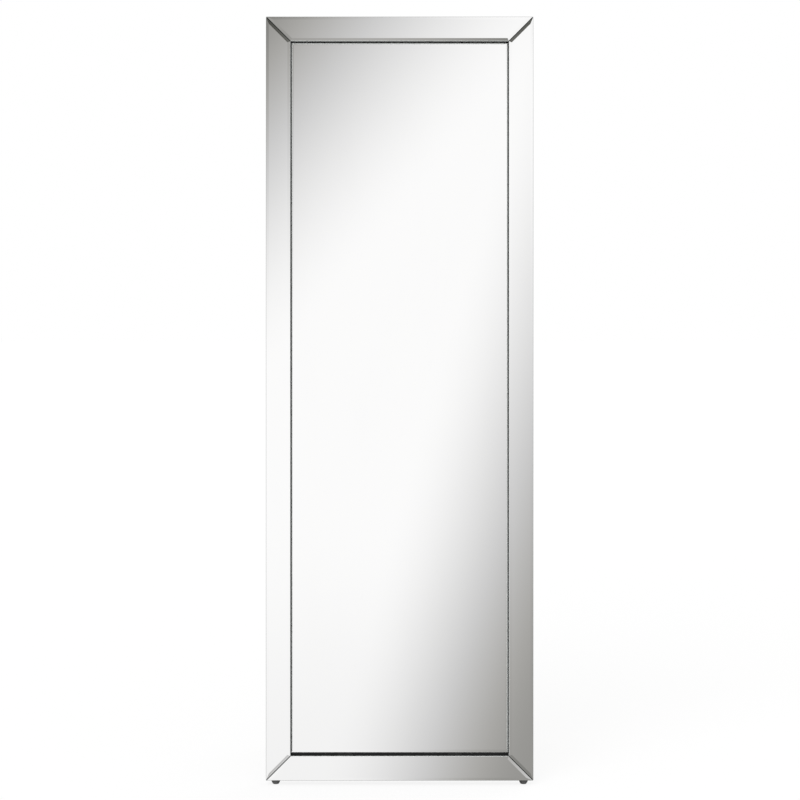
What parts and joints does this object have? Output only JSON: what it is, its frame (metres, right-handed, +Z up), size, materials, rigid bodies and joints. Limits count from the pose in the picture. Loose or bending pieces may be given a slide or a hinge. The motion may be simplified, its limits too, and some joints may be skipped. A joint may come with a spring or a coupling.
{
  "type": "floor mirror",
  "caption": "Tall floor mirror with a bevelled centre glass set back in a frame of bevelled, mitred mirror strips, on small rubber feet, with a folding easel stand behind.",
  "frame": {"origin": "on the floor, at the middle of the footprint that the open mirror and stand cover", "axes": "+Z up; the glass faces -Y and leans back 8 degrees; +X to the right of someone facing the glass"},
  "size_m": [0.56, 0.3542, 1.5943],
  "materials": {
    "mirror_glass": "polished silvered glass, seamed edges",
    "black_board": "satin black paint on fibreboard",
    "back_board": "plain fibreboard, black on its front",
    "stained_wood": "black stained pine, satin",
    "raw_wood": "plain beech",
    "foam_tape": "white foam, double sided",
    "block_rubber": "matt black",
    "foot_rubber": "matt dark grey",
    "hinge_steel": "zinc plated",
    "screw_steel": "zinc plated"
  },
  "bodies": {
    "mirror_frame": {"centre_mirror": "mirror_glass", "top_mirror_strip": "mirror_glass", "bottom_mirror_strip": "mirror_glass", "left_mirror_strip": "mirror_glass", "right_mirror_strip": "mirror_glass", "top_rail": "black_board", "bottom_rail": "black_board", "left_stile": "black_board", "right_stile": "black_board", "back_panel": "back_board", "hinge_batten": "stained_wood", "corner_splines": "raw_wood", "strip_tapes": "foam_tape", "centre_mirror_tapes": "foam_tape", "setting_blocks": "block_rubber", "left_foot": "foot_rubber", "right_foot": "foot_rubber", "left_hinge_fixed_leaf": "hinge_steel", "right_hinge_fixed_leaf": "hinge_steel", "left_hinge_pin": "hinge_steel", "right_hinge_pin": "hinge_steel", "fixed_leaf_screws": "screw_steel"},
    "stand": {"stand_head_rail": "stained_wood", "left_leg": "stained_wood", "right_leg": "stained_wood", "stand_stretcher": "stained_wood", "left_hinge_moving_leaf": "hinge_steel", "right_hinge_moving_leaf": "hinge_steel", "moving_leaf_screws": "screw_steel", "left_leg_pad": "foot_rubber", "right_leg_pad": "foot_rubber"}
  },
  "joints": [
    {"name": "stand_fold", "type": "hinge", "parent": "mirror_frame", "child": "stand", "pos_m": [0, 0.01081, 1.14485], "axis": [-1, 0, 0], "range_deg": [0, 15.5]}
  ]
}
